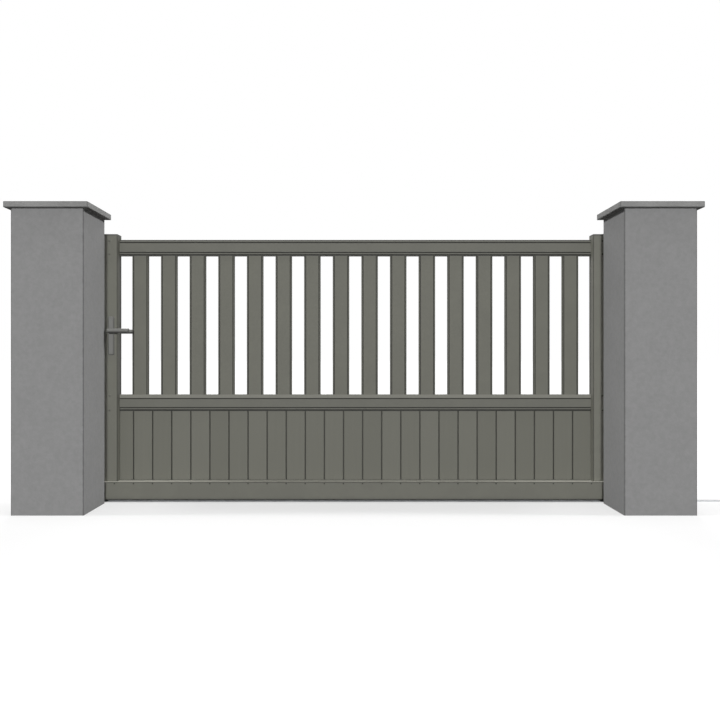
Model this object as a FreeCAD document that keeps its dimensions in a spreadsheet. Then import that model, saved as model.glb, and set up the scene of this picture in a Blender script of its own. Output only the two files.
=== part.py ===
import FreeCAD, Part
import os
import re
import Sketcher

# Sliding driveway gate: a steel leaf that rolls on a low track behind two masonry pillars.
# Millimetres. The origin is the middle of the left pillar's base, +X runs along the gateway
# to the right pillar, +Y away from the road and +Z up. The leaf stands behind the pillars.

SIZES = {
    # Masonry
    "pillar_side": 400,
    "pillar_height": 1685,
    "pillar_arris": 4,
    "gateway_width": 2960,
    "coping_overhang": 30,
    "coping_height": 32,
    "coping_arris": 2,
    "drip_inset": 10,
    "drip_width": 8,
    "drip_depth": 5,
    # Leaf as a whole
    "left_overlap": 17,
    "right_overlap": 33,
    "leaf_drop": 81,
    "leaf_setback": 19,
    "lever_clearance": 14,
    "stop_clearance": 6,
    # Bottom beam, a channel that opens downwards
    "beam_clearance": 16,
    "beam_height": 107,
    "beam_depth": 120,
    "beam_wall": 3,
    "beam_lip": 20,
    "beam_edge": 5,
    "beam_reach": 160,
    "beam_cap_thickness": 4,
    # Stiles
    "stile_width": 80,
    "stile_depth": 90,
    "stile_wall": 2,
    "stile_inset": 28,
    "stile_cap_thickness": 6,
    "corner_radius": 2,
    # Rails
    "top_rail_height": 96,
    "top_rail_lip": 13,
    "middle_rail_height": 100,
    "middle_rail_lip": 21,
    "rail_depth": 42,
    "rail_wall": 2,
    "rail_drop": 28,
    "rail_lip_step": 2,
    "rail_lip_slope": 1,
    "rail_groove_height": 6,
    "rail_groove_depth": 9,
    "rail_bead_height": 8,
    "rail_rebate_height": 9,
    # Upright slats between the rails
    "slat_count": 16,
    "slat_width": 100,
    "slat_thickness": 28,
    "slat_wall": 1.5,
    "slat_flat": 4,
    "slat_inset": 6,
    # Boarded panel under the middle rail
    "panel_height": 418,
    "panel_thickness": 20,
    "panel_wall": 1.2,
    "panel_inset": 10,
    # Lever handles
    "handle_height": 1024,
    "handle_backset": 43,
    "plate_width": 38,
    "plate_height": 232,
    "plate_thickness": 8,
    "plate_rise": 88,
    "plate_radius": 10,
    "plate_edge": 6,
    "spindle_side": 8,
    "spindle_clearance": 0.1,
    "spindle_depth": 20,
    "spindle_hole": 14,
    "neck_radius": 10,
    "neck_length": 34,
    "neck_clearance": 0.3,
    "lever_reach": 120,
    "lever_radius": 13,
    "lever_heel": 8,
    "lever_tip": 3,
    # Track and wheels
    "track_width": 60,
    "track_base": 2,
    "track_rise": 5,
    "ridge_base": 14,
    "ridge_top": 6,
    "wheel_inset": 300,
    "wheel_radius": 34,
    "wheel_flange": 4,
    "wheel_width": 24,
    "groove_clearance": 0.3,
    "axle_radius": 6,
    "bore_clearance": 0.3,
    "cheek_thickness": 5,
    "cheek_gap": 2,
    "carriage_length": 80,
    "carriage_base": 6,
    "carriage_edge": 12,
    # End stop of the track
    "stop_length": 80,
    "stop_height": 90,
    "stop_toe": 10,
    "stop_top": 16,
    # Upper guide on the back of the leaf
    "channel_depth": 34,
    "channel_height": 30,
    "channel_wall": 3,
    "roller_play": 0.5,
    "roller_height": 22,
    "roller_spacing": 70,
    "roller_inset": 43,
    "roller_lift": 3,
    "pin_radius": 5,
    "pin_head": 8,
    "pin_head_height": 2,
    "bracket_length": 150,
    "bracket_plate": 8,
    "bracket_drop": 110,
    "bracket_clearance": 8,
    "bracket_lip": 18,
    # Strike angle on the left pillar
    "strike_height": 600,
    "strike_leg": 80,
    "strike_wall": 6,
    "strike_slot_height": 90,
    "strike_slot_width": 30,
}

doc = FreeCAD.newDocument("sliding_gate")
sheet = doc.addObject("Spreadsheet::Sheet", "Sizes")
for row, (name, size) in enumerate(SIZES.items(), start=1):
    sheet.set(f"A{row}", name)
    sheet.set(f"B{row}", str(size))
    sheet.setAlias(f"B{row}", name)
doc.recompute()

pieces = []

# Planes that several pieces share, written in the names of the sizes
PILLAR_BACK = "(pillar_side / 2)"
RIGHT_PILLAR = "(pillar_side + gateway_width)"
BEAM_FRONT = f"({PILLAR_BACK} + leaf_setback)"
BEAM_MIDDLE = f"({BEAM_FRONT} + beam_depth / 2)"
BEAM_TOP = "(beam_clearance + beam_height)"
LEAF_LENGTH = "(gateway_width + left_overlap + right_overlap)"
LEAF_LEFT = "(pillar_side / 2 - left_overlap)"
LEAF_RIGHT = f"({LEAF_LEFT} + {LEAF_LENGTH})"
LEAF_TOP = "(pillar_height - leaf_drop)"
FIELD_LEFT = f"({LEAF_LEFT} + stile_width)"
FIELD_LENGTH = f"({LEAF_LENGTH} - 2 * stile_width)"
TRAVEL = "(gateway_width + left_overlap - handle_backset - lever_reach - lever_clearance)"
STILE_FRONT = f"({BEAM_FRONT} + stile_inset)"
STILE_BACK = f"({STILE_FRONT} + stile_depth)"
STILE_TOP = f"({LEAF_TOP} - stile_cap_thickness)"
RAIL_FRONT = f"({STILE_BACK} - rail_depth)"
TOP_RAIL = f"({LEAF_TOP} - rail_drop - top_rail_height)"
MID_RAIL = f"({BEAM_TOP} + panel_height)"
SLAT_BASE = f"({MID_RAIL} + middle_rail_height)"
SLAT_LENGTH = f"({TOP_RAIL} - {SLAT_BASE})"
SLAT_GAP = f"(({FIELD_LENGTH} - slat_count * slat_width) / (slat_count + 1))"
SLAT_ROUND = "(slat_thickness / 2 - slat_flat)"
HANDLE_X = f"({LEAF_LEFT} + handle_backset)"
TRACK_TOP = "(track_base + track_rise)"
TRACK_LEFT = f"({LEAF_LEFT} - beam_reach)"
STOP_FACE = f"({LEAF_RIGHT} + beam_reach + beam_cap_thickness + {TRAVEL} + stop_clearance)"
CHEEK_INSIDE = "(wheel_width / 2 + cheek_gap)"
CHEEK_OUTSIDE = f"({CHEEK_INSIDE} + cheek_thickness)"
WHEEL_AXIS = f"({TRACK_TOP} + groove_clearance + wheel_radius)"
CHANNEL_MIDDLE = f"({STILE_BACK} + channel_depth / 2)"
CHANNEL_BASE = f"({LEAF_TOP} - rail_drop - channel_height)"
ARM_BASE = f"({LEAF_TOP} + bracket_clearance)"
ROLLER_RADIUS = "(channel_depth / 2 - channel_wall - roller_play)"
ROLLER_BASE = f"({CHANNEL_BASE} + channel_wall + pin_head_height + roller_lift)"
FIRST_ROLLER = f"({LEAF_RIGHT} + beam_reach - roller_inset - roller_spacing)"


def cells(text):
    """Writes every size's name in an expression as its cell of the sheet."""
    return re.sub(r"\b([a-z]+(?:_[a-z]+)+)\b", r"Sizes.\1", text)


def bind(thing, prop, text):
    """Ties one property to an expression of the sizes."""
    thing.setExpression(prop, cells(text))


def place(thing, x="0", y="0", z="0"):
    """Ties a piece's place to the sizes."""
    for axis, text in (("x", x), ("y", y), ("z", z)):
        bind(thing, f"Placement.Base.{axis}", text)


def new_body(label, x="0", y="0", z="0"):
    """An empty body at its place, which counts as one piece of the gate."""
    body = doc.addObject("PartDesign::Body", label)
    body.Label = label
    place(body, x, y, z)
    pieces.append(body)
    return body


def box_loop(left, low, right, high):
    """The four corners of an upright rectangle."""
    return [(left, low), (right, low), (right, high), (left, high)]


def new_sketch(body, plane, loops=(), circles=(), lift="0"):
    """A sketch of closed loops of straight lines, and circles, on one of the body's planes.

    Each corner is held by its two distances from the sketch's origin, and each circle by its
    middle and radius, all of them expressions of the sizes.
    """
    sketch = body.newObject("Sketcher::SketchObject", body.Label + "_sketch")
    support = [part for part in body.Origin.OriginFeatures if part.Role == plane][0]
    sketch.AttachmentSupport = [(support, "")]
    sketch.MapMode = "FlatFace"
    bind(sketch, "AttachmentOffset.Base.z", lift)

    def value(text):
        return float(sketch.evalExpression(cells(text)))

    def hold(point, position, texts):
        for kind, text in zip(("DistanceX", "DistanceY"), texts):
            rule = Sketcher.Constraint(kind, -1, 1, point, position, value(text))
            bind(sketch, f"Constraints[{sketch.addConstraint(rule)}]", text)

    for loop in loops:
        corners = [FreeCAD.Vector(value(x), value(y), 0) for x, y in loop]
        first = sketch.GeometryCount
        for number, corner in enumerate(corners):
            following = corners[(number + 1) % len(corners)]
            sketch.addGeometry(Part.LineSegment(corner, following), False)
        for number in range(len(corners)):
            following = first + (number + 1) % len(corners)
            sketch.addConstraint(Sketcher.Constraint("Coincident", first + number, 2, following, 1))
        for number, texts in enumerate(loop):
            hold(first + number, 1, texts)
    for x, y, radius in circles:
        middle = FreeCAD.Vector(value(x), value(y), 0)
        ring = Part.Circle(middle, FreeCAD.Vector(0, 0, 1), value(radius))
        number = sketch.addGeometry(ring, False)
        hold(number, 3, (x, y))
        rule = Sketcher.Constraint("Radius", number, value(radius))
        bind(sketch, f"Constraints[{sketch.addConstraint(rule)}]", radius)
    return sketch


def pad(body, plane, length, loops=(), circles=(), lift="0", backwards=False):
    """Solid grown from a sketch, square to its plane."""
    feature = body.newObject("PartDesign::Pad", body.Label + "_pad")
    feature.Profile = new_sketch(body, plane, loops, circles, lift)
    feature.Reversed = backwards
    bind(feature, "Length", length)
    doc.recompute()
    return feature


def pocket(body, plane, length, loops=(), circles=(), lift="0", backwards=False):
    """Cut made from a sketch, square to its plane."""
    before = body.Shape.Volume
    feature = body.newObject("PartDesign::Pocket", body.Label + "_cut")
    feature.Profile = new_sketch(body, plane, loops, circles, lift)
    feature.Reversed = backwards
    bind(feature, "Length", length)
    doc.recompute()
    if body.Shape.Volume >= before:
        raise RuntimeError(f"{body.Label}: the cut takes nothing away")
    return feature


def soften(body, kind, size, chosen):
    """Fillet or chamfer on the edges that the given test picks."""
    base = body.Tip
    shape = body.Shape
    names = []
    for number, edge in enumerate(shape.Edges, start=1):
        along = edge.tangentAt(edge.FirstParameter)
        if chosen(along, edge.CenterOfMass, shape.BoundBox):
            names.append(f"Edge{number}")
    feature = body.newObject(f"PartDesign::{kind}", body.Label + "_edges")
    feature.Base = (base, names)
    bind(feature, "Radius" if kind == "Fillet" else "Size", size)
    doc.recompute()


NEAR = 1e-6


def at_side(value, low, high):
    """Whether a coordinate lies on either side of a range."""
    return min(abs(value - low), abs(value - high)) < NEAR


def corner_along_z(along, middle, box):
    """The upright outer corners of a box-shaped piece."""
    outside = at_side(middle.x, box.XMin, box.XMax) and at_side(middle.y, box.YMin, box.YMax)
    return outside and abs(along.z) > 1 - NEAR


def corner_along_x(along, middle, box):
    """The outer corners of a bar that lies along X."""
    outside = at_side(middle.y, box.YMin, box.YMax) and at_side(middle.z, box.ZMin, box.ZMax)
    return outside and abs(along.x) > 1 - NEAR


def corner_of_hollow(along, middle, box):
    """The upright corners of a hollow, which lie inside the piece."""
    outside = at_side(middle.x, box.XMin, box.XMax) or at_side(middle.y, box.YMin, box.YMax)
    return not outside and abs(along.z) > 1 - NEAR


def rim_at_top(along, middle, box):
    """The edges round the top face."""
    return abs(middle.z - box.ZMax) < NEAR


def rim_in_front(along, middle, box):
    """The edges round the face nearest the road."""
    return abs(middle.y - box.YMin) < NEAR


def rim_at_back(along, middle, box):
    """The edges round the face furthest from the road."""
    return abs(middle.y - box.YMax) < NEAR


def on_outline(middle, box):
    """Whether an edge lies on a piece's outline as seen from the road."""
    return at_side(middle.x, box.XMin, box.XMax) or at_side(middle.z, box.ZMin, box.ZMax)


def square_loop(half):
    """A square about the sketch's origin."""
    return box_loop(f"-({half})", f"-({half})", half, half)


# Pillars: rendered masonry, square in plan, with slightly eased corners
def make_pillar(side, x):
    body = new_body(f"{side}_pillar", x)
    pad(body, "XY_Plane", "pillar_height", [square_loop("pillar_side / 2")])
    soften(body, "Chamfer", "pillar_arris", corner_along_z)


# Coping slabs: flat, a little wider than the pillars, with a drip groove underneath
def make_coping(side, x):
    body = new_body(f"{side}_coping", x, "0", "pillar_height")
    edge = "pillar_side / 2 + coping_overhang"
    pad(body, "XY_Plane", "coping_height", [square_loop(edge)])
    outer = f"{edge} - drip_inset"
    groove = [square_loop(outer), square_loop(f"{outer} - drip_width")]
    pocket(body, "XY_Plane", "drip_depth", groove, backwards=True)
    soften(body, "Chamfer", "coping_arris", corner_along_z)
    soften(body, "Chamfer", "coping_arris", rim_at_top)


for side, x in (("left", "0"), ("right", RIGHT_PILLAR)):
    make_pillar(side, x)
    make_coping(side, x)

# Bottom beam: a folded channel, open downwards, which carries the leaf on its two wheels
beam = new_body("bottom_beam", f"{LEAF_LEFT} - beam_reach", BEAM_FRONT, "beam_clearance")
pad(beam, "YZ_Plane", f"{LEAF_LENGTH} + 2 * beam_reach", [[
    ("0", "0"),
    ("beam_lip", "0"),
    ("beam_lip", "beam_wall"),
    ("beam_wall", "beam_wall"),
    ("beam_wall", "beam_height - beam_wall"),
    ("beam_depth - beam_wall", "beam_height - beam_wall"),
    ("beam_depth - beam_wall", "beam_wall"),
    ("beam_depth - beam_lip", "beam_wall"),
    ("beam_depth - beam_lip", "0"),
    ("beam_depth", "0"),
    ("beam_depth", "beam_height"),
    ("0", "beam_height"),
]])
soften(beam, "Fillet", "corner_radius",
       lambda along, middle, box: corner_along_x(along, middle, box) and middle.z > box.Center.z)
soften(beam, "Fillet", "beam_edge",
       lambda along, middle, box: corner_along_x(along, middle, box) and middle.z < box.Center.z)


# Closing plates at the two ends of the beam
def make_beam_cap(side, x):
    body = new_body(f"{side}_beam_cap", x, BEAM_FRONT, "beam_clearance")
    pad(body, "YZ_Plane", "beam_cap_thickness", [box_loop("0", "0", "beam_depth", "beam_height")])
    soften(body, "Fillet", "corner_radius", corner_along_x)


make_beam_cap("left", f"{LEAF_LEFT} - beam_reach - beam_cap_thickness")
make_beam_cap("right", f"{LEAF_RIGHT} + beam_reach")


# Stiles: square-cornered tube standing on the beam, bored for the handle on the left
def make_stile(side, x):
    body = new_body(f"{side}_stile", x, STILE_FRONT, BEAM_TOP)
    outer = box_loop("0", "0", "stile_width", "stile_depth")
    inner = box_loop("stile_wall", "stile_wall", "stile_width - stile_wall", "stile_depth - stile_wall")
    pad(body, "XY_Plane", f"{STILE_TOP} - {BEAM_TOP}", [outer, inner])
    soften(body, "Fillet", "corner_radius", corner_along_z)
    return body


left_stile = make_stile("left", LEAF_LEFT)
pocket(left_stile, "XZ_Plane", "stile_depth",
       circles=[("handle_backset", f"handle_height - {BEAM_TOP}", "spindle_hole / 2")])
make_stile("right", f"{LEAF_RIGHT} - stile_width")


# Flat caps that close the tops of the stiles
def make_stile_cap(side, x):
    body = new_body(f"{side}_stile_cap", x, STILE_FRONT, STILE_TOP)
    pad(body, "XY_Plane", "stile_cap_thickness", [box_loop("0", "0", "stile_width", "stile_depth")])
    soften(body, "Fillet", "corner_radius", corner_along_z)


make_stile_cap("left", LEAF_LEFT)
make_stile_cap("right", f"{LEAF_RIGHT} - stile_width")


# Rails: tube whose front has, from the top down, a sloping lip, a groove, a broad flat face,
# a second groove, a narrow bead and a rebate level with the front of the slats. The middle rail's
# lip is the taller one.
def make_rail(label, z):
    body = new_body(label, FIELD_LEFT, RAIL_FRONT, z)
    height = f"{label}_height"
    lip = f"({height} - {label}_lip)"
    face = f"({lip} - rail_groove_height)"
    bead = "(rail_rebate_height + rail_bead_height)"
    outer = [
        ("slat_inset", "0"),
        ("rail_depth", "0"),
        ("rail_depth", height),
        ("rail_lip_step + rail_lip_slope", height),
        ("rail_lip_step", lip),
        ("rail_groove_depth", lip),
        ("rail_groove_depth", face),
        ("0", face),
        ("0", f"{bead} + rail_groove_height"),
        ("rail_groove_depth", f"{bead} + rail_groove_height"),
        ("rail_groove_depth", bead),
        ("rail_lip_step", bead),
        ("rail_lip_step", "rail_rebate_height"),
        ("slat_inset", "rail_rebate_height"),
    ]
    inside = "rail_groove_depth + rail_wall"
    inner = [
        (inside, "rail_wall"),
        ("rail_depth - rail_wall", "rail_wall"),
        ("rail_depth - rail_wall", f"{height} - rail_wall"),
        (inside, f"{height} - rail_wall"),
        (inside, f"{face} - rail_wall"),
        ("rail_wall", f"{face} - rail_wall"),
        ("rail_wall", f"{bead} + rail_groove_height + rail_wall"),
        (inside, f"{bead} + rail_groove_height + rail_wall"),
    ]
    pad(body, "YZ_Plane", FIELD_LENGTH, [outer, inner])


make_rail("top_rail", TOP_RAIL)
make_rail("middle_rail", MID_RAIL)


# Slats: flat tubes with rounded sides, evenly spaced from stile to stile
def make_slat(number):
    x = f"{FIELD_LEFT} + {SLAT_GAP} + {number - 1} * ({SLAT_GAP} + slat_width)"
    body = new_body(f"slat_{number:02d}", x, f"{RAIL_FRONT} + slat_inset", SLAT_BASE)
    outer = box_loop("0", "0", "slat_width", "slat_thickness")
    inner = box_loop("slat_wall", "slat_wall", "slat_width - slat_wall", "slat_thickness - slat_wall")
    pad(body, "XY_Plane", SLAT_LENGTH, [outer, inner])
    soften(body, "Fillet", f"{SLAT_ROUND} - slat_wall", corner_of_hollow)
    soften(body, "Fillet", SLAT_ROUND, corner_along_z)


for number in range(1, int(sheet.slat_count) + 1):
    make_slat(number)

# Boarded panel: hollow upright boards, edge to edge, between the middle rail and the beam
panel = new_body("board_panel", FIELD_LEFT, f"{RAIL_FRONT} + panel_inset", BEAM_TOP)
pad(panel, "XY_Plane", "panel_height", [
    box_loop("0", "0", FIELD_LENGTH, "panel_thickness"),
    box_loop("panel_wall", "panel_wall", f"{FIELD_LENGTH} - panel_wall", "panel_thickness - panel_wall"),
])


# Handle plates, front and back of the left stile, with broad bevels and a round hole for the spindle
def make_handle_plate(side, y, rim):
    body = new_body(f"{side}_handle_plate", HANDLE_X, y, "handle_height")
    half = "plate_width / 2"
    outline = box_loop(f"-({half})", "plate_rise - plate_height", half, "plate_rise")
    pad(body, "XZ_Plane", "plate_thickness", [outline], [("0", "0", "spindle_hole / 2")], backwards=True)
    soften(body, "Fillet", "plate_radius",
           lambda along, middle, box: abs(along.y) > 1 - NEAR)
    soften(body, "Chamfer", "plate_edge",
           lambda along, middle, box: rim(along, middle, box) and on_outline(middle, box))


make_handle_plate("front", f"{STILE_FRONT} - plate_thickness", rim_in_front)
make_handle_plate("back", STILE_BACK, rim_at_back)


# Levers: a round bar along the gateway with a rounded heel, on a round neck square to it
def make_lever(side, y, backwards):
    body = new_body(f"{side}_lever", HANDLE_X, y, "handle_height")
    axis = "neck_length + lever_radius" if backwards else "-(neck_length + lever_radius)"
    pad(body, "YZ_Plane", "lever_reach + lever_radius", circles=[(axis, "0", "lever_radius")],
        lift="-lever_radius")
    soften(body, "Fillet", "lever_heel", lambda along, middle, box: middle.x < box.XMin + NEAR)
    soften(body, "Fillet", "lever_tip", lambda along, middle, box: middle.x > box.XMax - NEAR)
    pad(body, "XZ_Plane", "neck_length + lever_radius", circles=[("0", "0", "neck_radius")],
        backwards=backwards)
    socket = square_loop("spindle_side / 2 + spindle_clearance")
    pocket(body, "XZ_Plane", "spindle_depth", [socket], backwards=not backwards)


make_lever("front", f"{STILE_FRONT} - plate_thickness - neck_clearance", False)
make_lever("back", f"{STILE_BACK} + plate_thickness + neck_clearance", True)

# Spindle: a square bar through the stile and both plates, into the two levers
spindle = new_body("handle_spindle", HANDLE_X, STILE_FRONT, "handle_height")
spindle_end = "(plate_thickness + neck_clearance + spindle_depth)"
pad(spindle, "XZ_Plane", f"stile_depth + 2 * {spindle_end}", [square_loop("spindle_side / 2")],
    lift=spindle_end, backwards=True)

# Track: a flat strip with a low ridge that the grooved wheels run on
track = new_body("ground_track", TRACK_LEFT, BEAM_MIDDLE)
pad(track, "YZ_Plane", f"{STOP_FACE} - {TRACK_LEFT}", [[
    ("-track_width / 2", "0"),
    ("track_width / 2", "0"),
    ("track_width / 2", "track_base"),
    ("ridge_base / 2", "track_base"),
    ("ridge_top / 2", TRACK_TOP),
    ("-ridge_top / 2", TRACK_TOP),
    ("-ridge_base / 2", "track_base"),
    ("-track_width / 2", "track_base"),
]])

# End stop: a cast wedge at the end of the track, which the opened leaf comes up to
stop = new_body("track_stop", STOP_FACE, f"{BEAM_MIDDLE} + track_width / 2")
pad(stop, "XZ_Plane", "track_width", [[
    ("0", "0"),
    ("stop_length", "0"),
    ("stop_length", "stop_toe"),
    ("stop_top", "stop_height"),
    ("0", "stop_height"),
]])


# Wheels: turned, with a groove that straddles the track's ridge
def make_wheel(side, x):
    body = new_body(f"{side}_wheel", x, BEAM_MIDDLE, WHEEL_AXIS)
    rim = "wheel_radius + wheel_flange"
    groove_top = "ridge_top / 2 + groove_clearance"
    groove_side = f"{groove_top} + wheel_flange * (ridge_base - ridge_top) / (2 * track_rise)"
    half = "wheel_width / 2"
    bore = "axle_radius + bore_clearance"
    profile = new_sketch(body, "YZ_Plane", [[
        (f"-({half})", bore),
        (half, bore),
        (half, rim),
        (groove_side, rim),
        (groove_top, "wheel_radius"),
        (f"-({groove_top})", "wheel_radius"),
        (f"-({groove_side})", rim),
        (f"-({half})", rim),
    ]])
    turned = body.newObject("PartDesign::Revolution", f"{side}_wheel_turned")
    turned.Profile = profile
    turned.ReferenceAxis = (profile, ["H_Axis"])
    doc.recompute()


# Wheel carriages: a plate under the beam's roof, two cheeks and the axle between them
def make_carriage(side, x):
    top = f"{BEAM_TOP} - beam_wall - {WHEEL_AXIS}"
    body = new_body(f"{side}_wheel_carriage", x, BEAM_MIDDLE, WHEEL_AXIS)
    pad(body, "YZ_Plane", "carriage_length", [[
        (f"-({CHEEK_OUTSIDE})", "-carriage_edge"),
        (f"-({CHEEK_INSIDE})", "-carriage_edge"),
        (f"-({CHEEK_INSIDE})", f"{top} - carriage_base"),
        (CHEEK_INSIDE, f"{top} - carriage_base"),
        (CHEEK_INSIDE, "-carriage_edge"),
        (CHEEK_OUTSIDE, "-carriage_edge"),
        (CHEEK_OUTSIDE, top),
        (f"-({CHEEK_OUTSIDE})", top),
    ]], lift="-carriage_length / 2")
    pad(body, "XZ_Plane", f"2 * {CHEEK_OUTSIDE}", circles=[("0", "0", "axle_radius")],
        lift=f"-({CHEEK_OUTSIDE})")


for side, x in (("left", f"{LEAF_LEFT} + wheel_inset"), ("right", f"{LEAF_RIGHT} - wheel_inset")):
    make_wheel(side, x)
    make_carriage(side, x)

# Guide channel: open upwards, along the back of the stiles and the top rail
channel = new_body("guide_channel", LEAF_LEFT, STILE_BACK, CHANNEL_BASE)
pad(channel, "YZ_Plane", f"{LEAF_LENGTH} + beam_reach", [[
    ("0", "0"),
    ("channel_depth", "0"),
    ("channel_depth", "channel_height"),
    ("channel_depth - channel_wall", "channel_height"),
    ("channel_depth - channel_wall", "channel_wall"),
    ("channel_wall", "channel_wall"),
    ("channel_wall", "channel_height"),
    ("0", "channel_height"),
]])

# Guide bracket: bolted to the back of the right pillar, reaching over the leaf to two pins
bracket_left = f"({FIRST_ROLLER} + roller_spacing / 2 - bracket_length / 2)"
bracket = new_body("guide_bracket", bracket_left, PILLAR_BACK, ARM_BASE)
arm_reach = f"({CHANNEL_MIDDLE} - {PILLAR_BACK} + bracket_lip)"
pad(bracket, "YZ_Plane", "bracket_length", [[
    ("0", "bracket_plate - bracket_drop"),
    ("bracket_plate", "bracket_plate - bracket_drop"),
    ("bracket_plate", "0"),
    (arm_reach, "0"),
    (arm_reach, "bracket_plate"),
    ("0", "bracket_plate"),
]])
first_pin = "(bracket_length / 2 - roller_spacing / 2)"
second_pin = "(bracket_length / 2 + roller_spacing / 2)"
pin_y = f"({CHANNEL_MIDDLE} - {PILLAR_BACK})"
pin_length = f"({ARM_BASE} - {ROLLER_BASE})"
for pin_x in (first_pin, second_pin):
    pad(bracket, "XY_Plane", pin_length, circles=[(pin_x, pin_y, "pin_radius")], backwards=True)
    pad(bracket, "XY_Plane", "pin_head_height", circles=[(pin_x, pin_y, "pin_head")],
        lift=f"-({pin_length})", backwards=True)

# Guide rollers: two plain rollers that turn on the bracket's pins inside the channel
rollers = new_body("guide_rollers", FIRST_ROLLER, CHANNEL_MIDDLE, ROLLER_BASE)
rollers.AllowCompound = True
pad(rollers, "XY_Plane", "roller_height", circles=[
    ("0", "0", ROLLER_RADIUS),
    ("0", "0", "pin_radius + bore_clearance"),
    ("roller_spacing", "0", ROLLER_RADIUS),
    ("roller_spacing", "0", "pin_radius + bore_clearance"),
])

# Strike angle: bolted to the back of the left pillar, slotted for the latch of the leaf
strike_x = f"({LEAF_LEFT} - stop_clearance - strike_leg)"
strike = new_body("strike_angle", strike_x, PILLAR_BACK, "handle_height - strike_height / 2")
flange_reach = f"({STILE_BACK} - {PILLAR_BACK})"
pad(strike, "XY_Plane", "strike_height", [[
    ("0", "0"),
    ("strike_leg", "0"),
    ("strike_leg", flange_reach),
    ("strike_leg - strike_wall", flange_reach),
    ("strike_leg - strike_wall", "strike_wall"),
    ("0", "strike_wall"),
]])
slot_middle = f"({STILE_FRONT} + stile_depth / 2 - {PILLAR_BACK})"
pocket(strike, "YZ_Plane", "strike_leg", [box_loop(
    f"{slot_middle} - strike_slot_width / 2",
    "strike_height / 2 - strike_slot_height / 2",
    f"{slot_middle} + strike_slot_width / 2",
    "strike_height / 2 + strike_slot_height / 2",
)], backwards=True)

doc.recompute()

faults = [f"{thing.Label}: {thing.State}" for thing in doc.Objects
          if "Invalid" in thing.State or "Error" in thing.State]
faults += [f"{piece.Label}: no valid shape" for piece in pieces
           if piece.Shape.isNull() or not piece.Shape.isValid()]
if faults:
    raise RuntimeError("\n".join(faults))

os.makedirs("parts", exist_ok=True)
for piece in pieces:
    piece.Shape.exportStep(os.path.join("parts", f"{piece.Label}.step"))
print(f"{len(pieces)} pieces written")
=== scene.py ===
"""Looks of the sliding driveway gate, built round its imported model.

Metres. The frame is the model's own: the origin is the middle of the left pillar's base, +X runs
along the gateway to the right pillar, +Y away from the road and +Z up.
"""

import math

import bpy
import numpy as np
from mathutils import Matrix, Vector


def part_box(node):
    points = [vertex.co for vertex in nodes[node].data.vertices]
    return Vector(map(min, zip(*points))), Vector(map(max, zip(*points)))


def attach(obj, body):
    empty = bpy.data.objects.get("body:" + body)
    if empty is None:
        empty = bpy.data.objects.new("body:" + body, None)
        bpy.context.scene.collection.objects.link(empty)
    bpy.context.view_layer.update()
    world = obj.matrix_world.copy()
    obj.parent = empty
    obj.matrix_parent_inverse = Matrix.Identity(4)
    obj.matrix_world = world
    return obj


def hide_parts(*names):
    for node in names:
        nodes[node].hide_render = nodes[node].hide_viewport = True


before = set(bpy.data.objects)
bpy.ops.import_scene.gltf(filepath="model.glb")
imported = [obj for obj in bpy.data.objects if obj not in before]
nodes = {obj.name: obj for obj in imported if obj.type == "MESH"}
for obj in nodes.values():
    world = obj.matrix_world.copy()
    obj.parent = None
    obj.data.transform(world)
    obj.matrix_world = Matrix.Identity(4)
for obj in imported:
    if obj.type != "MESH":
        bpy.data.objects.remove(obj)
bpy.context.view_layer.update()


# Camera
# It stands on the road side at 0.87 m, level and square to the gate, a little left of the middle of
# the gateway, which is at X = 1.78. The picture's measures, in pixels, give lens and shift.
PICTURE_SIDE = 720
FOCAL_LENGTH_PIXELS = 869.0
AXIS_PIXEL = (354.0, 356.0)
CAMERA_PLACE = (1.680, -4.958, 0.874)
SENSOR_MM = 36.0

camera_data = bpy.data.cameras.new("camera")
camera_data.sensor_width = SENSOR_MM
camera_data.lens = FOCAL_LENGTH_PIXELS / PICTURE_SIDE * SENSOR_MM
camera_data.shift_x = 0.5 - AXIS_PIXEL[0] / PICTURE_SIDE
camera_data.shift_y = AXIS_PIXEL[1] / PICTURE_SIDE - 0.5
camera = bpy.data.objects.new("camera", camera_data)
camera.location = CAMERA_PLACE
camera.rotation_euler = (math.radians(90), 0, 0)
bpy.context.scene.collection.objects.link(camera)
bpy.context.scene.camera = camera
bpy.context.scene.view_settings.view_transform = "Standard"


# Light
# A low key from across the road, with lamps from either side, behind and overhead. With the sky, a
# face turned to the road gets the light at which a colour shows as it is written.
SUNS = {
    "key": {"azimuth": 0, "elevation": 6, "level": 0.75, "spread": 3},
    "right_fill": {"azimuth": 88, "elevation": 33, "level": 0.73, "spread": 8},
    "left_fill": {"azimuth": -88, "elevation": 33, "level": 0.63, "spread": 8},
    "back_fill": {"azimuth": 180, "elevation": 35, "level": 0.60, "spread": 30},
    "top": {"azimuth": 0, "elevation": 90, "level": 0.42, "spread": 20},
}

for name, sun in SUNS.items():
    lamp = bpy.data.lights.new(name, "SUN")
    lamp.energy = math.pi * sun["level"]
    lamp.angle = math.radians(sun["spread"])
    holder = bpy.data.objects.new(name, lamp)
    holder.rotation_euler = (math.radians(90 - sun["elevation"]), 0, math.radians(sun["azimuth"]))
    bpy.context.scene.collection.objects.link(holder)


# Sky
# An even, overcast light from all round. It is plain white where the camera, a reflection or clear
# glass looks at it, and dimmer as a light.
SKY_LEVEL = 0.18


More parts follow.
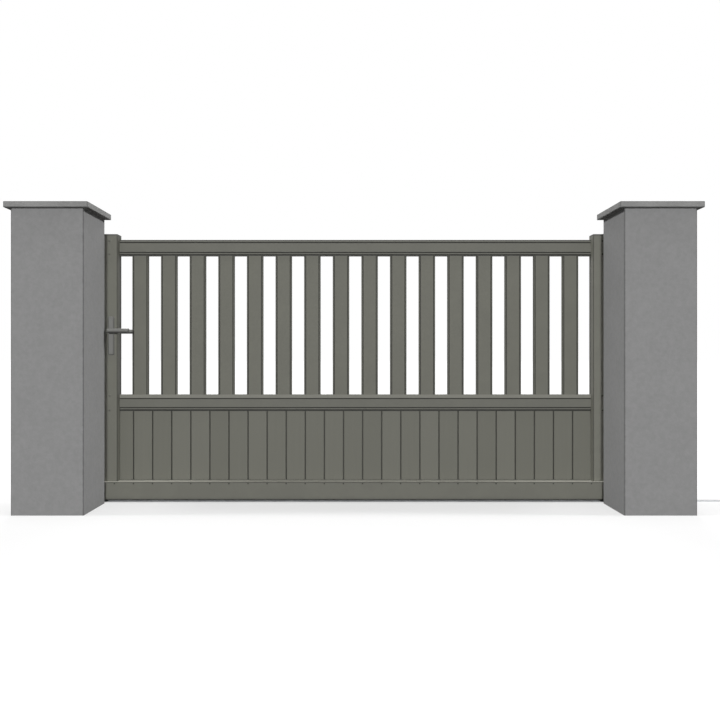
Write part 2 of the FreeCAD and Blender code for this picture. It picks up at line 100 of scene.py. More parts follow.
class Wire:
    """One socket in a material's tree. Sums written with it add the Math nodes they need."""

    def __init__(self, tree, socket=None):
        self.tree = tree
        self.socket = socket

    def node(self, kind, settings, sockets, output=0):
        """Adds a node, sets it up, then gives its sockets their values or links."""
        made = self.tree.nodes.new(kind)
        for name, value in settings.items():
            setattr(made, name, value)
        for name, value in sockets.items():
            if isinstance(value, Wire):
                self.tree.links.new(value.socket, made.inputs[name])
            else:
                made.inputs[name].default_value = value
        return Wire(self.tree, made.outputs[output])

    def also(self, output):
        """Another output of the same node."""
        return Wire(self.tree, self.socket.node.outputs[output])

    def math(self, operation, *values):
        return self.node("ShaderNodeMath", {"operation": operation}, dict(enumerate(values)))

    def __add__(self, other):
        return self.math("ADD", self, other)

    def __sub__(self, other):
        return self.math("SUBTRACT", self, other)

    def __rsub__(self, other):
        return self.math("SUBTRACT", other, self)

    def __mul__(self, other):
        return self.math("MULTIPLY", self, other)

    def __truediv__(self, other):
        return self.math("DIVIDE", self, other)

    def __mod__(self, other):
        return self.math("FLOORED_MODULO", self, other)

    def __abs__(self):
        return self.math("ABSOLUTE", self)

    __radd__ = __add__
    __rmul__ = __mul__


world = bpy.data.worlds.new("sky")
world.use_nodes = True
bpy.context.scene.world = world
sky = Wire(world.node_tree)


def looks(start):
    """Two switches: 1 for a ray from the camera, and 1 for one by a reflection or through glass."""
    camera_ray = start.node("ShaderNodeLightPath", {}, {}, "Is Camera Ray")
    bounced = camera_ray.also("Is Glossy Ray")
    return camera_ray, bounced.math("MAXIMUM", bounced, camera_ray.also("Is Transmission Ray"))


background = world.node_tree.nodes["Background"]
background.inputs["Color"].default_value = (1, 1, 1, 1)
camera_ray, bounced = looks(sky)
sky_strength = SKY_LEVEL + (1 - SKY_LEVEL) * (camera_ray + bounced)
world.node_tree.links.new(sky_strength.socket, background.inputs["Strength"])


# Floor
# A plain pale sheet at the height that the pillars stand on. It shows the gate's soft shadow over
# a low glow of its own, and throws only a little light back up.
FLOOR_HALF = 150.0
FLOOR_SHOWN = 0.30
FLOOR_MIRRORED = 0.50
FLOOR_THROWN = 0.10
FLOOR_GLOW = 0.56

floor_mesh = bpy.data.meshes.new("floor")
floor_mesh.from_pydata(
    [(-FLOOR_HALF, -FLOOR_HALF, 0), (FLOOR_HALF, -FLOOR_HALF, 0),
     (FLOOR_HALF, FLOOR_HALF, 0), (-FLOOR_HALF, FLOOR_HALF, 0)], [], [(0, 1, 2, 3)])
floor = bpy.data.objects.new("floor", floor_mesh)
bpy.context.scene.collection.objects.link(floor)


def new_finish(name, **fixed):
    """A material with one Principled shader, whose fixed values stand on its own sockets."""
    material = bpy.data.materials.new(name)
    material.use_nodes = True
    shader = material.node_tree.nodes["Principled BSDF"]
    for socket, value in fixed.items():
        shader.inputs[socket.replace("_", " ")].default_value = value
    return material, Wire(material.node_tree), shader


def feed(shader, **wires):
    """Links wires to the shader's sockets."""
    for socket, wire in wires.items():
        wire.tree.links.new(wire.socket, shader.inputs[socket.replace("_", " ")])


def even(level):
    """A grey of this level."""
    return level.node("ShaderNodeCombineColor", {}, {0: level, 1: level, 2: level})


floor_paint, start, shader = new_finish("floor_paint", Roughness=1.0, Specular_IOR_Level=0.0,
                                        Emission_Strength=1.0)
camera_ray, bounced = looks(start)
level = (FLOOR_THROWN + (FLOOR_SHOWN - FLOOR_THROWN) * camera_ray
         + (FLOOR_MIRRORED - FLOOR_THROWN) * bounced)
feed(shader, Base_Color=even(level), Emission_Color=even(camera_ray * FLOOR_GLOW))
floor_mesh.materials.append(floor_paint)


# Pillars
# Filled blockwork with a coat of sand and cement render, floated smooth and left its own grey.
# The float leaves broad cloudy patches, a fine sandy grain and a few pinholes. Painted shade
# darkens the pinholes and the upright corners.
RENDER_LIGHT = (142, 142, 142)
RENDER_DARK = (132, 132, 132)
RENDER_SHADE = (88, 88, 88)
PAST_ENDS = 1.0


def colour(red, green, blue):
    """A screen colour, 0 to 255, as the linear light that the shader works in."""
    share = np.array((red, green, blue)) / 255
    linear = np.where(share <= 0.04045, share / 12.92, ((share + 0.055) / 1.055) ** 2.4)
    return (*linear.tolist(), 1.0)


def noise(where, scale, detail=2.0, roughness=0.5):
    """Smooth noise about 0.5, with this many lumps to the metre."""
    return where.node("ShaderNodeTexNoise", {},
                      {"Vector": where, "Scale": scale, "Detail": detail, "Roughness": roughness})


def fade(value, start, end):
    """1 at the start value or below it, 0 at the end value or above it, and smooth between."""
    return value.node("ShaderNodeMapRange", {"interpolation_type": "SMOOTHSTEP"},
                      {"Value": value, "From Min": start, "From Max": end,
                       "To Min": 1, "To Max": 0})


def blend(share, first, second):
    """Goes from the first colour at 0 to the second at 1."""
    return share.node("ShaderNodeMix", {"data_type": "RGBA"}, {0: share, 6: first, 7: second}, 2)


def bump(height, depth):
    """Relief on the surface, this deep in metres from height 0 to 1."""
    return height.node("ShaderNodeBump", {}, {"Height": height, "Distance": depth})


def edge_distance(where, low, high):
    """How far a point on a box-shaped piece lies from the box's nearest edge.

    On the surface one of the three distances to the box's sides is nothing, so the middle one of
    the three is the distance to an edge.
    """
    split = where.node("ShaderNodeSeparateXYZ", {}, {0: where})
    x, y, z = [(b - a) / 2 - abs(split.also(axis) - (a + b) / 2)
               for axis, a, b in zip("XYZ", low, high)]
    pair = x.math("MAXIMUM", x, y)
    return pair.math("MAXIMUM", x.math("MINIMUM", x, y), pair.math("MINIMUM", pair, z))


def dress(name, material):
    """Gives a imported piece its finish."""
    for place in nodes[name].material_slots:
        place.material = material


def masonry(name, low, high):
    """Floated render on one pillar, with painted shade in its pinholes and along its corners. Its
    box is drawn out past both ends, so that only the upright corners get the painted shade line."""
    material, start, shader = new_finish(name, Roughness=0.92, Specular_IOR_Level=0.15)
    where = start.node("ShaderNodeTexCoord", {}, {}, "Object")
    clouds = noise(where, 5.0, 2.0)
    mottle = noise(where, 42.0, 4.0, 0.65)
    sand = noise(where, 520.0, 3.0, 0.7)
    patches = clouds * 0.15 + mottle * 0.5 + sand * 0.35
    pits = where.node("ShaderNodeTexVoronoi", {}, {"Vector": where, "Scale": 90.0}, "Distance")
    pinholes = fade(pits, 0.05, 0.09) * fade(1 - mottle, 0.38, 0.5)
    upright = (low.x, low.y, low.z - PAST_ENDS), (high.x, high.y, high.z + PAST_ENDS)
    # Painted shade: a darker line along the upright corners, and darkened pinholes below.
    edge = fade(edge_distance(where, *upright) + mottle * 0.003, 0.0035, 0.010)
    plain = blend(fade(patches, 0.30, 0.70), colour(*RENDER_LIGHT), colour(*RENDER_DARK))
    shade_lined = blend(edge * 0.9, plain, colour(*RENDER_SHADE))
    feed(shader, Base_Color=blend(pinholes * 0.5, shade_lined, colour(*RENDER_SHADE)),
         Normal=bump(sand * 0.5 + mottle * 0.8 - pinholes, 0.0012))
    return material


for side in ("left", "right"):
    dress(f"{side}_pillar", masonry(f"{side}_render", *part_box(f"{side}_pillar")))


# Copings
# Flat slabs of cast stone, bedded on the pillars. The mould leaves them smoother than the render,
# with small air holes.
STONE_LIGHT = (142, 142, 141)
STONE_DARK = (133, 133, 132)
STONE_SHADE = (96, 96, 95)


def cast_stone(name, low, high):
    """Cast stone on one coping: even, with painted shade in its small holes and along its edges."""
    material, start, shader = new_finish(name, Roughness=0.85, Specular_IOR_Level=0.2)
    where = start.node("ShaderNodeTexCoord", {}, {}, "Object")
    clouds = noise(where, 9.0, 5.0, 0.6)
    sand = noise(where, 900.0, 2.0)
    holes = where.node("ShaderNodeTexVoronoi", {}, {"Vector": where, "Scale": 130.0}, "Distance")
    pinholes = fade(holes, 0.10, 0.16) * fade(1 - noise(where, 35.0), 0.42, 0.5)
    # Painted shade: a darker line along the edges, and darkened air holes.
    edge = fade(edge_distance(where, low, high) + clouds * 0.002, 0.003, 0.007)
    plain = blend(fade(clouds, 0.38, 0.62), colour(*STONE_LIGHT), colour(*STONE_DARK))
    shade_lined = blend(edge * 0.85, plain, colour(*STONE_SHADE))
    feed(shader, Base_Color=blend(pinholes * 0.6, shade_lined, colour(*STONE_SHADE)),
         Normal=bump(sand * 0.3 - pinholes, 0.0008))
    return material


for side in ("left", "right"):
    dress(f"{side}_coping", cast_stone(f"{side}_cast_stone", *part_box(f"{side}_coping")))


# Leaf: stiles, rails, slats and beam
# Folded and drawn steel, welded, ground flush and powder coated in one warm grey. The coat is
# matt with a fine orange peel. Painted shade darkens the corners, folds, grooves and some sides,
# and painted light, a pale tone, lifts the beam's top, the middle rail's lip and the strips behind
# the pillars; on the beam's top it is partly dry dust.
# Both stiles wear one coat; the right one's grey is set lighter than the left's as painted light.
LEFT_STILE_GREY = (105, 105, 97)
RIGHT_STILE_LIT_GREY = (109, 109, 101)
SLAT_GREY = (104, 104, 96)
RAIL_GREY = (102, 102, 95)
BEAM_GREY = (107, 107, 99)
COAT_PATCHES = 0.04
# The share of light left where painted shade, or the beam's splash dirt, lies.
SHADE_AND_DIRT_SHARE = 0.20
# A pale grey painted on as light where a face should look lit; on the beam's top it is partly dust.
LIGHT_AND_DUST_GREY = (158, 157, 148)
LIGHT_BEHIND_PILLARS = 0.6
LIP_LIGHT = 0.25


def shade(grey, share):
    """A screen colour as linear light, with this share of its light."""
    return (*(value * share for value in colour(*grey)[:3]), 1.0)


def powder_coat(name, grey, shade_and_dirt=None, light_and_dust=None):
    """Powder coat. Two functions say, from 0 to 1, how much painted shade and dirt, and how much
    painted light and pale dust, lie on it.
    """
    material, start, shader = new_finish(name, Specular_IOR_Level=0.2)
    where = start.node("ShaderNodeTexCoord", {}, {}, "Object")
    clouds = noise(where, 6.0, 4.0, 0.6)
    peel = noise(where, 700.0, 2.0)
    coat = blend(fade(clouds, 0.35, 0.65),
                 shade(grey, 1 + COAT_PATCHES), shade(grey, 1 - COAT_PATCHES))
    x = where.node("ShaderNodeSeparateXYZ", {}, {0: where})
    if light_and_dust:
        coat = blend(light_and_dust(where, x), coat, colour(*LIGHT_AND_DUST_GREY))
    if shade_and_dirt:
        coat = blend(shade_and_dirt(where, x), coat, shade(grey, SHADE_AND_DIRT_SHARE))
    feed(shader, Base_Color=coat, Roughness=0.56 + clouds * 0.14, Normal=bump(peel, 0.00008))
    return material


def most(*shares):
    """The largest of several shares."""
    result = shares[0]
    for share in shares[1:]:
        result = result.math("MAXIMUM", result, share)
    return result


def stile_painted_shade(name, inner_x, on_side):
    """Painted shade along the upright front corner that faces the gateway, a share of it on the
    side face, less beside the boards, and a little under the cap."""
    low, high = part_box(name)
    rail_low, rail_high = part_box("middle_rail")

    def shade_and_dirt(where, x):
        from_corner = abs(x - inner_x)
        beside_boards = fade(x.also("Z"), rail_low.z, rail_high.z)
        corner = fade(from_corner, 0.0020, 0.0065) * fade(x.also("Y") - low.y, 0.0, 0.012)
        inner_side = fade(from_corner, 0.0005, 0.0010) * (1 - 0.7 * beside_boards)
        under_cap = fade(high.z - x.also("Z"), 0.002, 0.007)
        return most(corner * 0.75, inner_side * on_side, under_cap * 0.25)

    return shade_and_dirt


def pillar_painted_light(side):
    """Painted light: a pale tone on the strip of the closed leaf that lies behind a pillar, in its
    shadow.
    """
    low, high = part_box(f"{side}_pillar")

    def light_and_dust(where, x):
        depth = high.x - x if side == "left" else x - low.x
        return (1 - fade(depth, -0.002, 0.002)) * LIGHT_BEHIND_PILLARS

    return light_and_dust


# The last column is the share of painted shade on the side that faces the gateway.
for side, grey, inner_x, on_side in (
    ("left", LEFT_STILE_GREY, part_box("left_stile")[1].x, 0.6),
    ("right", RIGHT_STILE_LIT_GREY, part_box("right_stile")[0].x, 0.03),
):
    name = f"{side}_stile"
    stile_shade = stile_painted_shade(name, inner_x, on_side)
    dress(name, powder_coat(f"{name}_coat", grey, stile_shade, pillar_painted_light(side)))

beam_low, beam_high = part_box("bottom_beam")


def beam_shade_and_splash(where, x):
    """Painted shade along the front's top and bottom folds, and rain splash dirt above the bottom
    one.
    """
    height = x.also("Z")
    front = fade(x.also("Y") - beam_low.y, 0.002, 0.006)
    top_fold = fade(beam_high.z - height, 0.003, 0.007)
    bottom_fold = fade(height - beam_low.z, 0.004, 0.009)
    splash = fade(height + noise(where, 25.0, 4.0) * 0.03, beam_low.z + 0.010, beam_low.z + 0.045)
    return most(top_fold * 0.6, bottom_fold, splash * 0.2) * front


def ledge_dust_and_light(where, x):
    """Dry dust and painted light on the beam's flat top, thinner in patches."""
    return fade(beam_high.z - x.also("Z"), 0.0001, 0.0004) * (0.55 + noise(where, 18.0, 5.0, 0.65))


dress("bottom_beam", powder_coat("beam_coat", BEAM_GREY, beam_shade_and_splash, ledge_dust_and_light))
for side in ("left", "right"):
    dress(f"{side}_beam_cap", powder_coat(f"{side}_beam_cap_coat", BEAM_GREY))

SLAT_ROUND = 0.010
first_low, first_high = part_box("slat_01")
slat_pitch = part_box("slat_02")[0].x - first_low.x


def slat_painted_shade(where, x):
    """Painted shade where a slat's rounded sides begin, whichever slat the point is on, and on
    them.
    """
    half = (first_high.x - first_low.x) / 2
    from_side = half - abs((x - first_low.x) % slat_pitch - half)
    side_line = fade(abs(from_side - SLAT_ROUND), 0.0014, 0.0046)
    return most(side_line, fade(from_side, 0.001, SLAT_ROUND) * 0.4)


slat_coat = powder_coat("slat_coat", SLAT_GREY, slat_painted_shade)
for name in nodes:
    if name.startswith("slat_"):
        dress(name, slat_coat)

# The heights, from a rail's foot, of what lies back from its broad face: a rebate and two grooves.
# The lip begins where the upper groove ends.
RAIL_RECESSES = {
    "top_rail": ((0.001, 0.010), (0.017, 0.023), (0.0765, 0.0835)),
    "middle_rail": ((0.0, 0.011), (0.0175, 0.0245), (0.073, 0.079)),
}
RAIL_FACE = 0.0115
LIP_TOP = 0.0045


def band(value, low, high, soft=0.0004):
    """1 between the two values, 0 outside them, and smooth at both ends."""
    return fade(abs(value - (low + high) / 2), (high - low) / 2 - soft, (high - low) / 2 + soft)


for name, recesses in RAIL_RECESSES.items():
    rail_low, rail_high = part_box(name)
    lip_foot = recesses[-1][1]
    is_top = name == "top_rail"

    def rail_painted_shade(where, x):
        """Painted shade in the rebate and two grooves of the rail's front, and on the top rail's
        lip.
        """
        height = x.also("Z") - rail_low.z
        marks = [band(height, a, b) for a, b in recesses]
        if is_top:
            marks.append(fade(rail_high.z - x.also("Z"), LIP_TOP, 2 * LIP_TOP) * 0.75)
        return most(*marks) * fade(x.also("Y") - rail_low.y, RAIL_FACE, RAIL_FACE + 0.001)

    def lip_painted_light(where, x):
        """Painted light: a paler tone on the middle rail's lip."""
        return (1 - fade(x.also("Z") - rail_low.z, lip_foot, lip_foot + 0.001)) * LIP_LIGHT

    dress(name, powder_coat(f"{name}_coat", RAIL_GREY, rail_painted_shade, None if is_top else lip_painted_light))


# Stile caps
# Moulded plastic plugs with a fine grain, pressed into the open tops of the two stiles to keep
# the rain out.
CAP_LIGHT = (64, 64, 60)
CAP_DARK = (56, 56, 53)

cap_plastic, start, shader = new_finish("cap_plastic", Specular_IOR_Level=0.4)
where = start.node("ShaderNodeTexCoord", {}, {}, "Object")
grain = noise(where, 1400.0, 3.0, 0.6)
feed(shader, Base_Color=blend(noise(where, 40.0), colour(*CAP_LIGHT), colour(*CAP_DARK)),
     Roughness=0.5 + grain * 0.15, Normal=bump(grain, 0.00012))
for side in ("left", "right"):
    dress(f"{side}_stile_cap", cap_plastic)


# Boarded panel
# Upright tongued boards of folded sheet, 115.6 mm to each, pushed up into the middle rail and
# stood on the beam. The first is cut down to fit. They lap in the joints, which lets no light in.
BOARD_WIDTH = 0.1156
FIRST_BOARD = 0.082
JOINT_WIDTH = 0.0065
JOINT_DEPTH = 0.0075
BOARD_ARRIS = 0.0018
TONGUE_REACH = 0.0010
TONGUE_SLACK = 0.0001
FOOT_SHADE_REACH = 0.005
BOARD_LIGHT = (107, 107, 99)
BOARD_DARK = (102, 102, 94)
JOINT_SHADE = (38, 38, 35)


def shell(name, rings, smooth_under=35):
    """Closed shells from rings of points.

    rings[piece, ring, point] holds places. Each ring is joined to the next one of its piece by
    four-sided faces, and one face closes the first ring and one the last. Seen from the last
    ring, the points run anticlockwise.
    """
    pieces, count, points = rings.shape[:3]
    number = np.arange(pieces * count * points).reshape(pieces, count, points)
    low, high = number[:, :-1], number[:, 1:]
    sides = np.stack([low, np.roll(low, -1, 2), np.roll(high, -1, 2), high], -1).reshape(-1, 4)
    first, last = number[:, 0, ::-1], number[:, -1]
    mesh = bpy.data.meshes.new(name)
    mesh.from_pydata(rings.reshape(-1, 3), [], [*sides.tolist(), *first.tolist(), *last.tolist()])
    mesh.shade_smooth()
    mesh.set_sharp_from_angle(angle=math.radians(smooth_under))
    made = bpy.data.objects.new(name, mesh)
    bpy.context.scene.collection.objects.link(made)
    return made


def drawn_noise(where, lumps, detail):
    """Smooth noise drawn out along a piece, with so many lumps to the metre along X, Y and Z."""
    drawn = where.node("ShaderNodeMapping", {}, {"Vector": where, "Scale": lumps})
    return noise(drawn, 1.0, detail)


def board_section(left, right, front, back):
    """One board in plan, anticlockwise: two broad faces with eased corners, and in each side a
    tongue that reaches past the joint's middle, in front on the left and behind on the right."""
    gap = JOINT_WIDTH / 2
    ease = gap + BOARD_ARRIS
    shoulder = TONGUE_REACH + 2 * TONGUE_SLACK
    middle = (front + back) / 2
    near, far = front + JOINT_DEPTH, back - JOINT_DEPTH
    return [
        (left + ease, front), (right - ease, front),
        (right - gap, front + BOARD_ARRIS), (right - gap, near),
        (right - shoulder, near), (right - shoulder, middle + TONGUE_SLACK),
        (right + TONGUE_REACH, middle + TONGUE_SLACK), (right + TONGUE_REACH, far),
        (right - gap, far), (right - gap, back - BOARD_ARRIS),
        (right - ease, back), (left + ease, back),
        (left + gap, back - BOARD_ARRIS), (left + gap, far),
        (left + shoulder, far), (left + shoulder, middle - TONGUE_SLACK),
        (left - TONGUE_REACH, middle - TONGUE_SLACK), (left - TONGUE_REACH, near),
        (left + gap, near), (left + gap, front + BOARD_ARRIS),
    ]


panel_low, panel_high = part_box("board_panel")
joints = np.arange(panel_low.x + FIRST_BOARD, panel_high.x - BOARD_WIDTH / 2, BOARD_WIDTH)
butt = JOINT_WIDTH / 2 + BOARD_ARRIS
sides = np.concatenate([[panel_low.x - butt], joints, [panel_high.x + butt]])
plans = np.array([board_section(a, b, panel_low.y, panel_high.y) for a, b in zip(sides, sides[1:])])
plans[..., 0] = plans[..., 0].clip(panel_low.x, panel_high.x)
heights = np.array([panel_low.z, panel_high.z])
boards = np.empty((len(plans), 2, plans.shape[1], 3))
boards[..., :2] = plans[:, None]
boards[..., 2] = heights[None, :, None]

panel = shell("panel_boards", boards, smooth_under=20)
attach(panel, "leaf")
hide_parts("board_panel")

board_coat, start, shader = new_finish("board_coat", Specular_IOR_Level=0.2)
where = start.node("ShaderNodeTexCoord", {}, {}, "Object")
split = where.node("ShaderNodeSeparateXYZ", {}, {0: where})
along = (split - panel_low.x - FIRST_BOARD) / BOARD_WIDTH
count = along.math("FLOOR", along)
batch = count.node("ShaderNodeTexWhiteNoise", {"noise_dimensions": "1D"}, {"W": count}, "Value")
runs = drawn_noise(where, (60.0, 60.0, 2.5), 4.0)
tone = batch * 0.45 + runs * 0.55
depth = (panel_high.y - panel_low.y) / 2 - abs(split.also("Y") - (panel_low.y + panel_high.y) / 2)
# Painted shade in the recessed joints and along the boards' foot.
in_joint = 1 - fade(depth, 0.0008, 0.0040)
at_foot = fade(split.also("Z") - panel_low.z, 0.0, FOOT_SHADE_REACH)
coat = blend(fade(tone, 0.2, 0.8), colour(*BOARD_LIGHT), colour(*BOARD_DARK))
feed(shader, Base_Color=blend(most(in_joint * 0.8, at_foot * 0.7), coat, colour(*JOINT_SHADE)),
     Roughness=0.56 + runs * 0.14, Normal=bump(noise(where, 700.0), 0.00008))
panel.data.materials.append(board_coat)


# Screws and rivets of the leaf
# Zinc-plated socket screws hold each end of the rails through the stiles, and a row of pulled
# rivets below the boards holds their foot trim to the beam. All are painted over; their heads are
# given darker greys than the coat as painted shade.
RAIL_SCREW = [(0.0, 5.6, 0), (1.0, 5.6, 0), (2.2, 5.0, 0), (3.0, 3.9, 0), (3.1, 2.9, 1),
              (1.4, 2.9, 1)]
RIVET = [(0.0, 4.6, 0), (0.5, 4.6, 0), (1.4, 3.9, 0), (2.0, 2.6, 0), (2.2, 1.2, 0)]
SCREW_X = (0.215, 3.168)
SCREW_Z = (1.563, 1.485, 0.637, 0.549)
RIVET_PITCH = 0.1137
RIVET_ROW = (0.2525, 26)
RIVET_HEIGHT = 0.114
SCREW_SHADE_GREY = (90, 90, 84)
RIVET_SHADE_GREY = (62, 62, 58)


def fixings(name, steps, places, facing, points=24):
    """Turned or six-sided heads on a surface that faces along Y or Z.

    Each step is a height above the surface and a radius to the corners, in millimetres, and how
    far the ring is a hexagon: its radius is r (1 - k + k cos 30 / cos(a mod 60 - 30)).
    """
    height, radius, six = np.array(steps).T[..., None]
    angle = np.linspace(0, 2 * np.pi, points, endpoint=False)
    hexagon = math.cos(math.pi / 6) / np.cos(angle % (np.pi / 3) - np.pi / 6)
    ring = radius / 1000 * (1 - six + six * hexagon)
    out = np.array(facing, float)
    across = np.array((1.0, 0.0, 0.0))
    up = np.cross(out, across)
    shape = (ring * np.cos(angle))[..., None] * across + (ring * np.sin(angle))[..., None] * up
    shape = shape + (height / 1000)[..., None] * out
    return shell(name, shape[None] + np.array(places)[:, None, None])


def row(xs, y, zs):
    """Every place with one of these X and one of these Z."""
    return [(x, y, z) for x in xs for z in zs]


stile_low, stile_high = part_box("left_stile")
screw_coat = powder_coat("screw_coat", SCREW_SHADE_GREY)
rivet_coat = powder_coat("rivet_coat", RIVET_SHADE_GREY)
rivet_x = RIVET_ROW[0] + RIVET_PITCH * np.arange(RIVET_ROW[1])
for name, steps, places, facing, coat in (
    ("front_rail_screws", RAIL_SCREW, row(SCREW_X, stile_low.y, SCREW_Z), (0, -1, 0), screw_coat),
    ("back_rail_screws", RAIL_SCREW, row(SCREW_X, stile_high.y, SCREW_Z[1:]), (0, 1, 0),
     screw_coat),
    ("front_rivets", RIVET, row(rivet_x, beam_low.y, [RIVET_HEIGHT]), (0, -1, 0), rivet_coat),
    ("back_rivets", RIVET, row(rivet_x, beam_high.y, [RIVET_HEIGHT]), (0, 1, 0), rivet_coat),
):
    heads = fixings(name, steps, places, facing)
    heads.data.materials.append(coat)
    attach(heads, "leaf")


# Lever handles
# Cast aluminium levers and plates, satin finished. The plates are bolted to each other through
# the stile by two screws 38 mm apart, above and below the spindle, and held by one at each end.
HANDLE_LIGHT = (111, 111, 108)
HANDLE_DARK = (101, 101, 98)
HANDLE_SHADE = (44, 44, 42)
PLATE_SCREW = [(0.0, 3.4, 0), (0.5, 3.4, 0), (1.1, 2.9, 0), (1.4, 2.2, 0), (1.4, 1.6, 1),
               (0.4, 1.6, 1)]
SCREW_OFFSET = 0.019
END_SCREW_INSET = 0.014

plate_low, plate_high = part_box("front_handle_plate")
lever_low, lever_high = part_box("front_lever")


def satin_aluminium(name, shade_and_dirt=None):
    """Satin metal with the lines of its finish, and painted shade where the function says, from 0
    to 1.
    """
    material, start, shader = new_finish(name, Metallic=0.05, Specular_IOR_Level=0.25)
    where = start.node("ShaderNodeTexCoord", {}, {}, "Object")
    lines = drawn_noise(where, (900.0, 900.0, 40.0), 3.0)
    clouds = noise(where, 30.0, 3.0)
    metal = blend(lines * 0.6 + clouds * 0.4, colour(*HANDLE_DARK), colour(*HANDLE_LIGHT))
    if shade_and_dirt:
        x = where.node("ShaderNodeSeparateXYZ", {}, {0: where})
        metal = blend(shade_and_dirt(x), metal, colour(*HANDLE_SHADE))
    feed(shader, Base_Color=metal, Roughness=0.45 + lines * 0.14, Normal=bump(lines, 0.00003))
    return material


def plate_painted_shade(x):
    """Painted shade on a plate's bevel, more of it on the side away from the pillar."""
    right_bevel = fade(plate_high.x - x, 0.005, 0.009)
    left_bevel = fade(x - plate_low.x, 0.004, 0.007)
    return most(right_bevel * 0.5, left_bevel * 0.25)


def lever_painted_shade(x):
    """Painted shade on a lever's under side, and a painted dark ring round its end."""
    height = (x.also("Z") - lever_low.z) / (lever_high.z - lever_low.z)
    under_side = fade(height, 0.05, 0.5)
    end_ring = fade(lever_high.x - x, 0.002, 0.006)
    return most(under_side * 0.6, end_ring * 0.3)


satin = satin_aluminium("satin_aluminium")
for side in ("front", "back"):
    dress(f"{side}_handle_plate", satin_aluminium(f"{side}_plate_metal", plate_painted_shade))
    dress(f"{side}_lever", satin_aluminium(f"{side}_lever_metal", lever_painted_shade))
dress("handle_spindle", satin)

spindle_low, spindle_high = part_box("handle_spindle")
handle_x = (spindle_low.x + spindle_high.x) / 2
handle_z = (spindle_low.z + spindle_high.z) / 2
plate_screw_z = (handle_z - SCREW_OFFSET, handle_z + SCREW_OFFSET,
                 plate_low.z + END_SCREW_INSET, plate_high.z - END_SCREW_INSET)
for name, y, out in (
    ("front_plate_screws", plate_low.y, -1),
    ("back_plate_screws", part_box("back_handle_plate")[1].y, 1),
):
    heads = fixings(name, PLATE_SCREW, row([handle_x], y, plate_screw_z), (0, out, 0))
    heads.data.materials.append(satin)
    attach(heads, "leaf")


# Galvanised steel: track, stop, guide, strike angle and wheel carriages
# Hot-dip galvanised after welding. The zinc cools in flat crystals about a centimetre across,
# each a slightly different grey. The wheels keep the top of the track's ridge bright.
ZINC_LIGHT = (170, 172, 174)
ZINC_DARK = (152, 154, 156)
RUBBED_STEEL = (186, 186, 184)
RUBBED_HEIGHT = 0.0002
CRYSTALS_PER_METRE = 120.0
CRYSTAL_BEND = 0.006


def galvanised(name, worn_above=None):
    """Zinc with its crystals, and with bright bare steel above one height where it is rubbed."""
    material, start, shader = new_finish(name, Metallic=0.55, Specular_IOR_Level=0.5)
    where = start.node("ShaderNodeTexCoord", {}, {}, "Object")
    shift = noise(where, 90.0, 3.0).also("Color")
    bent = where.node("ShaderNodeVectorMath", {"operation": "MULTIPLY_ADD"},
                      {0: shift, 1: (CRYSTAL_BEND,) * 3, 2: where})
    crystals = where.node("ShaderNodeTexVoronoi", {},
                          {"Vector": bent, "Scale": CRYSTALS_PER_METRE}, "Color")
    facet = crystals.node("ShaderNodeSeparateColor", {}, {0: crystals})
    clouds = noise(where, 14.0, 4.0, 0.6)
    tone = facet * 0.4 + clouds * 0.6
    zinc = blend(fade(tone, 0.25, 0.75), colour(*ZINC_LIGHT), colour(*ZINC_DARK))
    rough = 0.46 + facet * 0.1
    if worn_above is not None:
        height = where.node("ShaderNodeSeparateXYZ", {}, {0: where}, "Z")
        rubbed = (1 - fade(height, worn_above - 0.0006, worn_above)) * (0.7 + clouds * 0.5)
        zinc = blend(rubbed, zinc, colour(*RUBBED_STEEL))
        rough = rough - rubbed * 0.2
    feed(shader, Base_Color=zinc, Roughness=rough, Normal=bump(facet * 0.2 + clouds, 0.00010))
    return material


zinc_coat = galvanised("zinc_coat")
for name in ("track_stop", "guide_channel", "guide_bracket", "strike_angle",
             "left_wheel_carriage", "right_wheel_carriage"):
    dress(name, zinc_coat)
track_low, track_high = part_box("ground_track")
dress("ground_track", galvanised("track_zinc", worn_above=track_high.z - RUBBED_HEIGHT))


# Anchors and track screws
# Zinc-plated anchors with washers and nuts hold the strike angle and the guide bracket to the
# blockwork, and low screws hold the track down on both sides of its ridge.
ANCHOR = [(0.0, 11.0, 0), (1.4, 11.0, 0), (1.8, 10.6, 0), (1.8, 9.6, 1), (8.4, 9.6, 1),
          (9.4, 8.3, 0), (9.4, 5.0, 0), (14.0, 5.0, 0), (15.0, 4.1, 0)]
TRACK_SCREW = [(0.0, 5.2, 0), (0.6, 5.2, 0), (1.6, 4.3, 0), (2.0, 2.6, 1), (1.0, 2.6, 1)]
TRACK_SCREW_SPACING = 0.50
TRACK_SCREW_OFFSET = 0.0205
FIRST_TRACK_SCREW = 0.10
ANCHOR_EDGE = 0.030
STRIKE_WALL = 0.006
BRACKET_WALL = 0.008
TRACK_BASE = 0.002

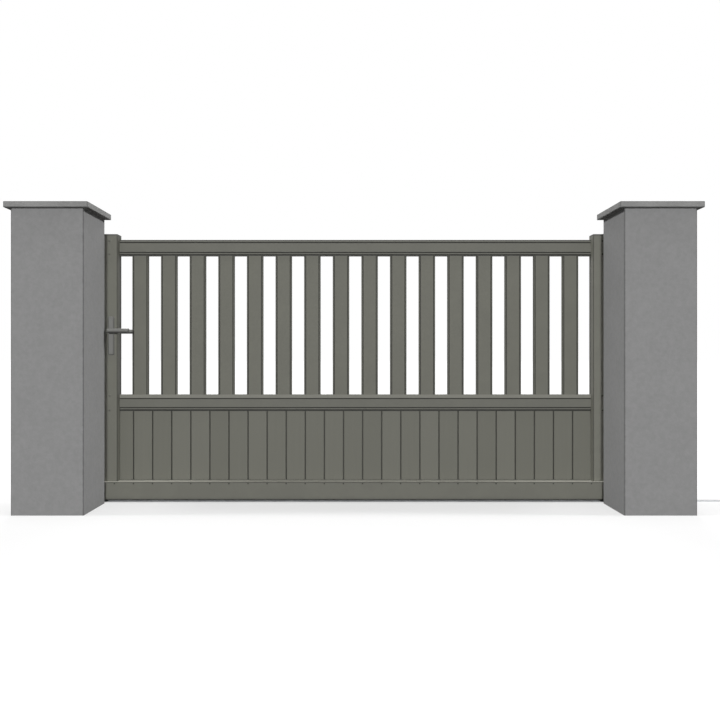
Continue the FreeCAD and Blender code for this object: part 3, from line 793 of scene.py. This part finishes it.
strike_low, strike_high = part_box("strike_angle")
bracket_low, bracket_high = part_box("guide_bracket")
strike_z = np.linspace(strike_low.z + 2 * ANCHOR_EDGE, strike_high.z - 2 * ANCHOR_EDGE, 3)
bracket_x = (bracket_low.x + ANCHOR_EDGE, bracket_high.x - ANCHOR_EDGE)
bracket_z = (bracket_low.z + ANCHOR_EDGE, bracket_high.z - ANCHOR_EDGE)
anchor_places = (row([strike_low.x + ANCHOR_EDGE], strike_low.y + STRIKE_WALL, strike_z)
                 + row(bracket_x, bracket_low.y + BRACKET_WALL, bracket_z))
track_middle = (track_low.y + track_high.y) / 2
track_screw_x = np.arange(track_low.x + FIRST_TRACK_SCREW, track_high.x, TRACK_SCREW_SPACING)
track_places = [(x, track_middle + side * TRACK_SCREW_OFFSET, TRACK_BASE)
                for x in track_screw_x for side in (-1, 1)]
for name, steps, places, facing in (
    ("wall_anchors", ANCHOR, anchor_places, (0, 1, 0)),
    ("track_screws", TRACK_SCREW, track_places, (0, 0, 1)),
):
    heads = fixings(name, steps, places, facing)
    heads.data.materials.append(zinc_coat)
    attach(heads, "pillars")


# Wheels
# Turned steel with fine rings from the lathe, dull with grease. They run on the track's ridge, on
# axles in the carriages inside the beam.
WHEEL_LIGHT = (126, 126, 124)
WHEEL_DARK = (104, 104, 104)

wheel_steel, start, shader = new_finish("wheel_steel", Metallic=0.5, Specular_IOR_Level=0.3)
where = start.node("ShaderNodeTexCoord", {}, {}, "Object")
turning = drawn_noise(where, (20.0, 1500.0, 20.0), 2.0)
feed(shader, Base_Color=blend(turning, colour(*WHEEL_DARK), colour(*WHEEL_LIGHT)),
     Roughness=0.42 + turning * 0.15, Normal=bump(turning, 0.00004))
for side in ("left", "right"):
    dress(f"{side}_wheel", wheel_steel)


# Guide rollers
# Black nylon, turned and left as cut. They stand on pins under the bracket's arm and hold the
# leaf upright in its channel.
NYLON_LIGHT = (48, 48, 48)
NYLON_DARK = (34, 34, 34)

nylon, start, shader = new_finish("roller_nylon", Specular_IOR_Level=0.4)
where = start.node("ShaderNodeTexCoord", {}, {}, "Object")
cut = drawn_noise(where, (40.0, 40.0, 2200.0), 2.0)
feed(shader, Base_Color=blend(cut, colour(*NYLON_DARK), colour(*NYLON_LIGHT)),
     Roughness=0.45 + cut * 0.15, Normal=bump(cut, 0.00005))
dress("guide_rollers", nylon)
